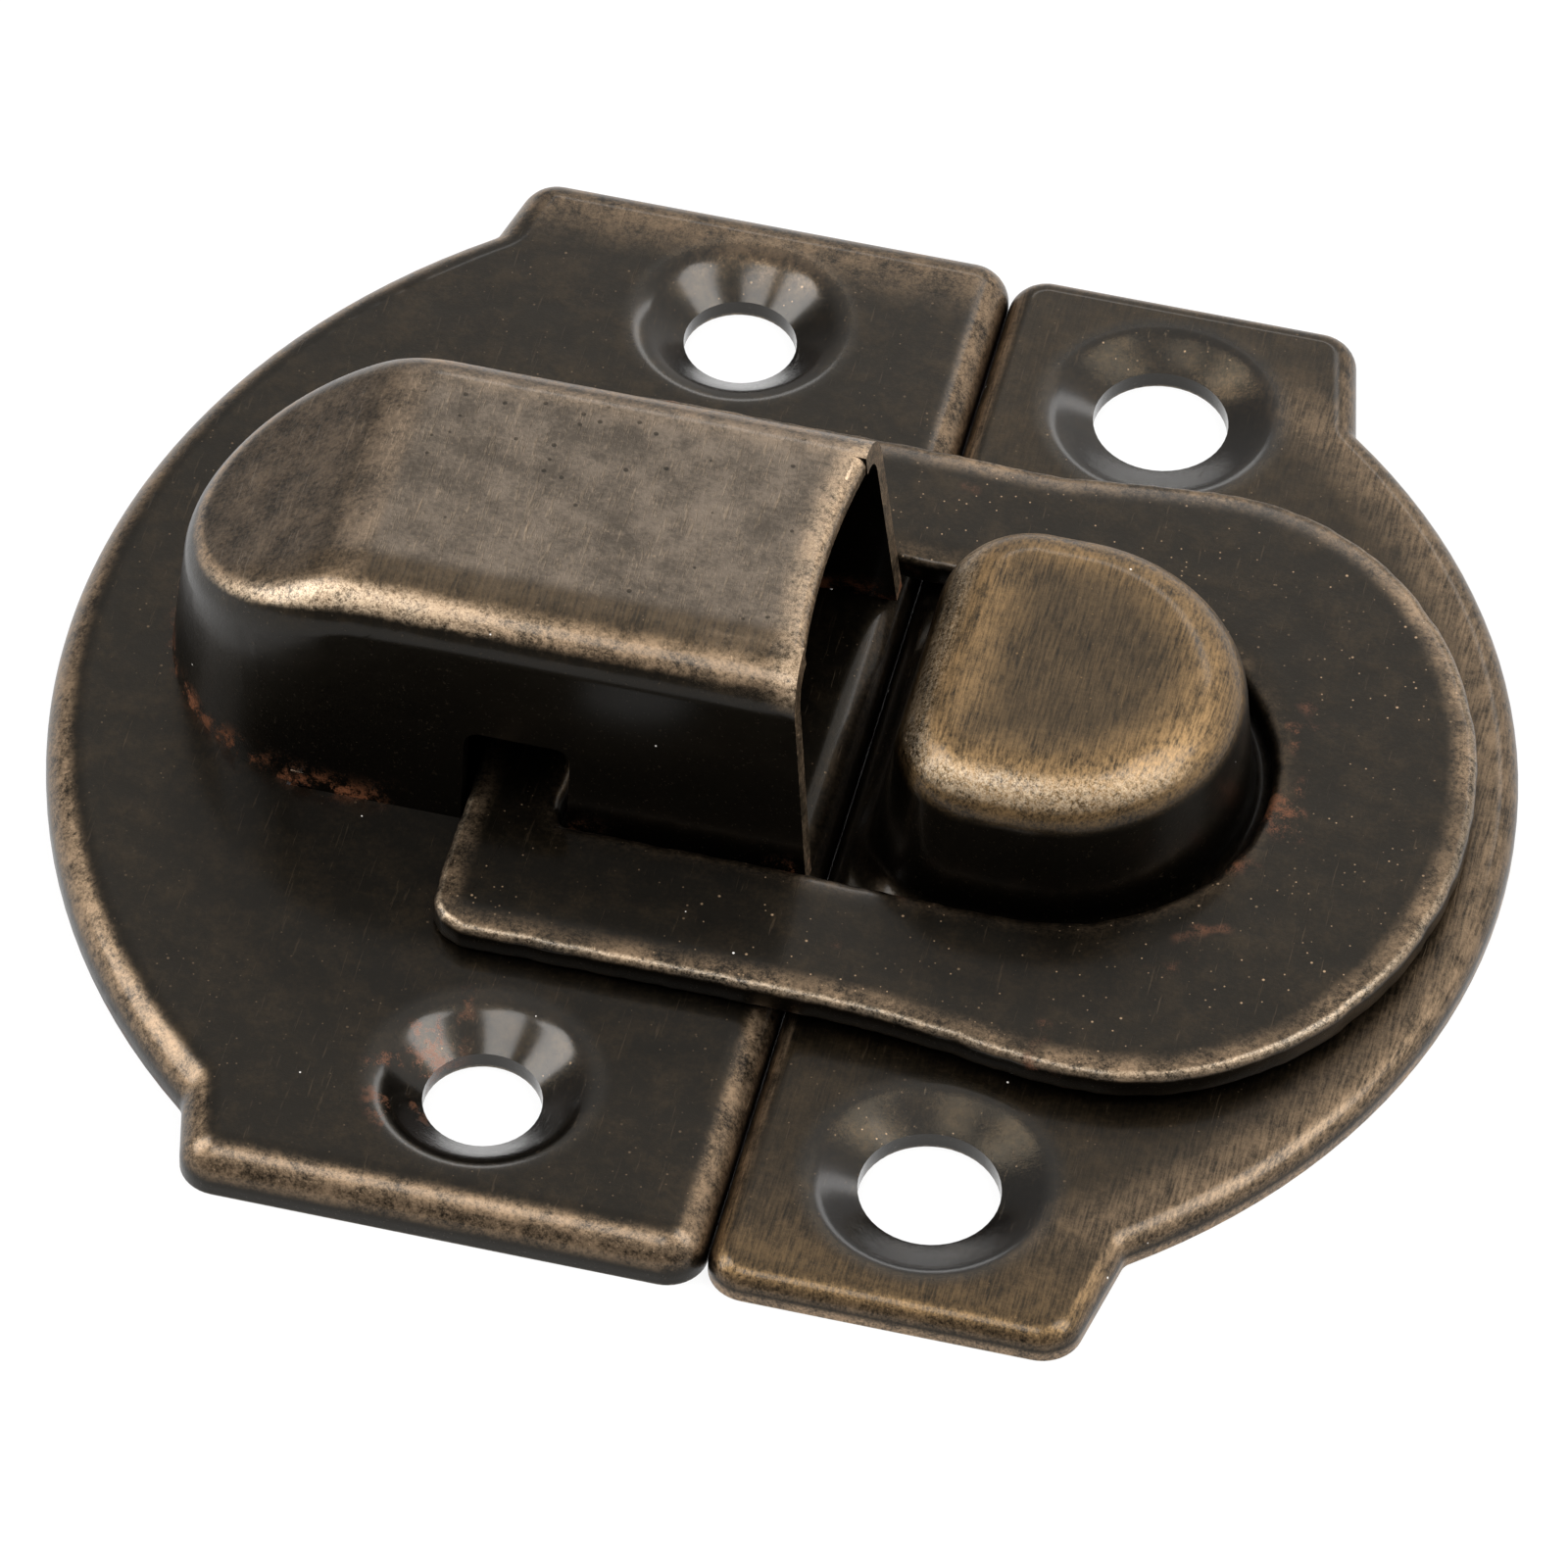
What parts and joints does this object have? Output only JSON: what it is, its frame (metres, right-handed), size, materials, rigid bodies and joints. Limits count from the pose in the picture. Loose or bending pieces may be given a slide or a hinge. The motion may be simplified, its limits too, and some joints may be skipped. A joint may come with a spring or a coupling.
{
  "type": "box hasp",
  "caption": "Small sprung box hasp of stamped steel: a flat ring hinged under a hooded spring on the lid plate drops over a raised boss on the box plate.",
  "frame": {"origin": "bottom centre of the bounding box, in the plane that rests on the box", "axes": "+X runs from the lid half across the seam to the box half, +Y along the seam, +Z away from the box front"},
  "size_m": [0.0464, 0.044, 0.0097],
  "materials": {
    "plate_bronze": "dark antique bronze plating on steel, worn bright on the rims",
    "hood_bronze": "dark antique bronze plating, mottled, worn to tan brass on the edges",
    "hasp_bronze": "dark antique bronze plating with worn cut edges",
    "spring_steel": "bare spring steel, dull and lightly rusted",
    "catch_bronze": "antique bronze plating brushed along the seam, worn to tan brass on the rim"
  },
  "bodies": {
    "mounted_plates": {"hood_plate": "plate_bronze", "hood": "hood_bronze", "leaf_spring": "spring_steel", "catch_plate": "catch_bronze"},
    "hasp": {"hasp": "hasp_bronze"}
  },
  "joints": [
    {"name": "hasp_hinge", "type": "hinge", "parent": "mounted_plates", "child": "hasp", "pos_m": [-0.0082, 0, 0.00218], "axis": [0, -1, 0], "range_deg": [0, 90], "deforming": ["leaf_spring"]}
  ]
}
